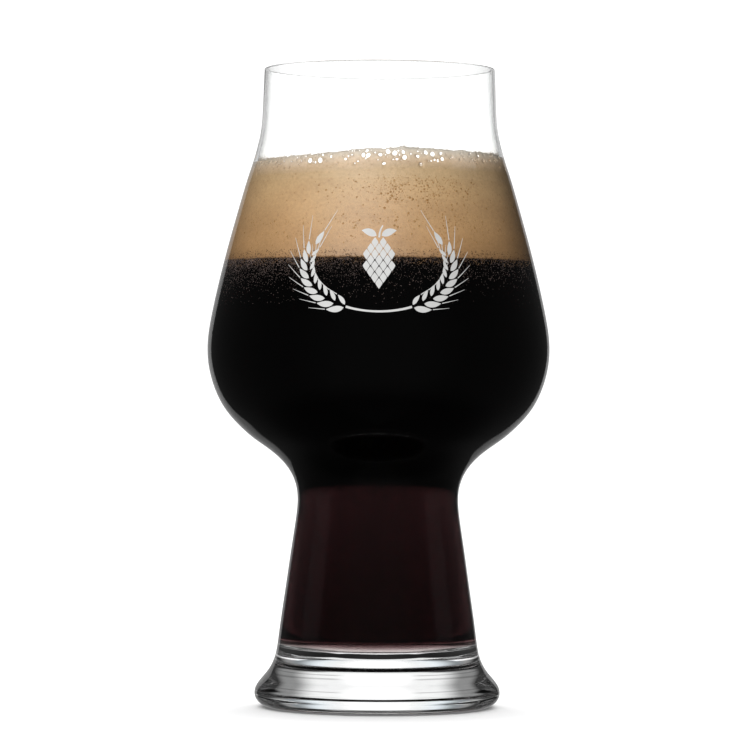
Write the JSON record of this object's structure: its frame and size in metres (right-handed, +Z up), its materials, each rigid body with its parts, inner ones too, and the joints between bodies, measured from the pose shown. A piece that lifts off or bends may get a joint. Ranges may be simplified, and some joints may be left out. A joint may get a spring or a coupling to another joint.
{
  "type": "stout glass",
  "caption": "Footed tulip-bowl stout glass with a straight neck, narrow waist, flared hollow stem and heavy solid foot, filled with dark stout under a tan head of foam.",
  "frame": {"origin": "on the axis, in the plane of the resting ring under the foot", "axes": "+Z up along the axis of the glass, towards the rim; -Y faces the viewer of the picture; +X to that viewer's right"},
  "size_m": [0.0956, 0.0956, 0.178],
  "materials": {
    "clear_glass": "clear and neutral, fire-polished",
    "stout_liquid": "near-black liquid, dark red-brown where it is thin",
    "beer_foam": "matte tan foam of fine bubbles",
    "enamel_print": "matte off-white fired enamel"
  },
  "bodies": {
    "root": {"glass_body": "clear_glass", "stout": "stout_liquid", "foam_head": "beer_foam"}
  },
  "joints": []
}
